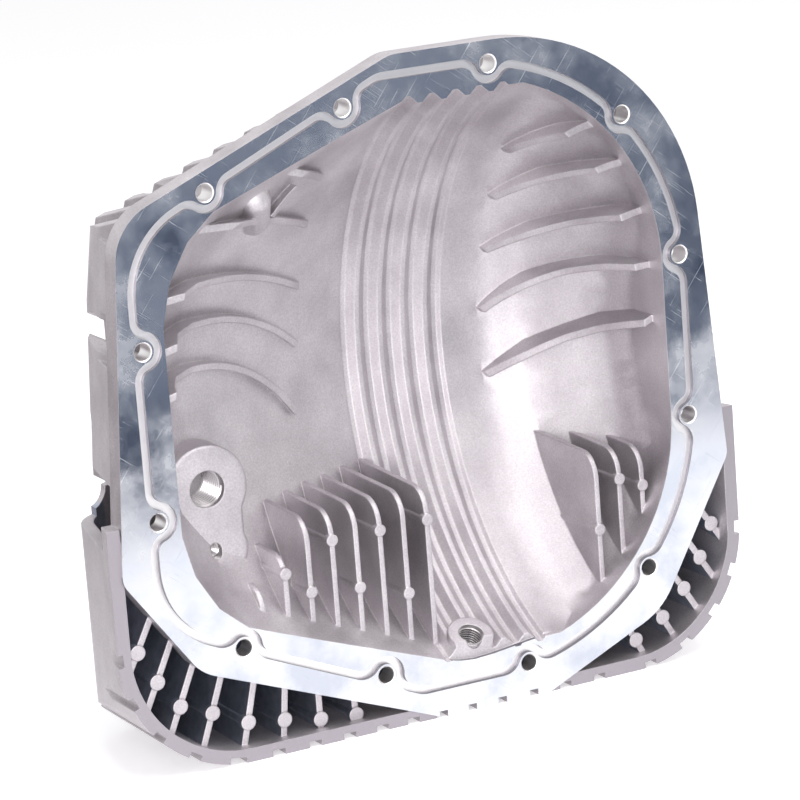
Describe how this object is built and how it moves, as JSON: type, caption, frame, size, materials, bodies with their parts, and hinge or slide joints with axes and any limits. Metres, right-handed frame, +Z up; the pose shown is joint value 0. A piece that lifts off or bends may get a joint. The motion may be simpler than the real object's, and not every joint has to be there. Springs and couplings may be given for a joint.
{
  "type": "differential cover",
  "caption": "Finned cast aluminium axle housing cover with a bolted gasket flange, an O-ring groove, a deep bowl and air scoops at both lower corners.",
  "frame": {"origin": "centre of the bolt pattern, on the milled flange face", "axes": "-Y out of the milled face, towards the axle housing; +Y out of the bowl's back; +X to the right seen from the machined side; +Z up"},
  "size_m": [0.3586, 0.119, 0.3425],
  "materials": {
    "cast_aluminium": "satin blasted casting, milled flange face"
  },
  "bodies": {
    "root": {"cover": "cast_aluminium"}
  },
  "joints": []
}
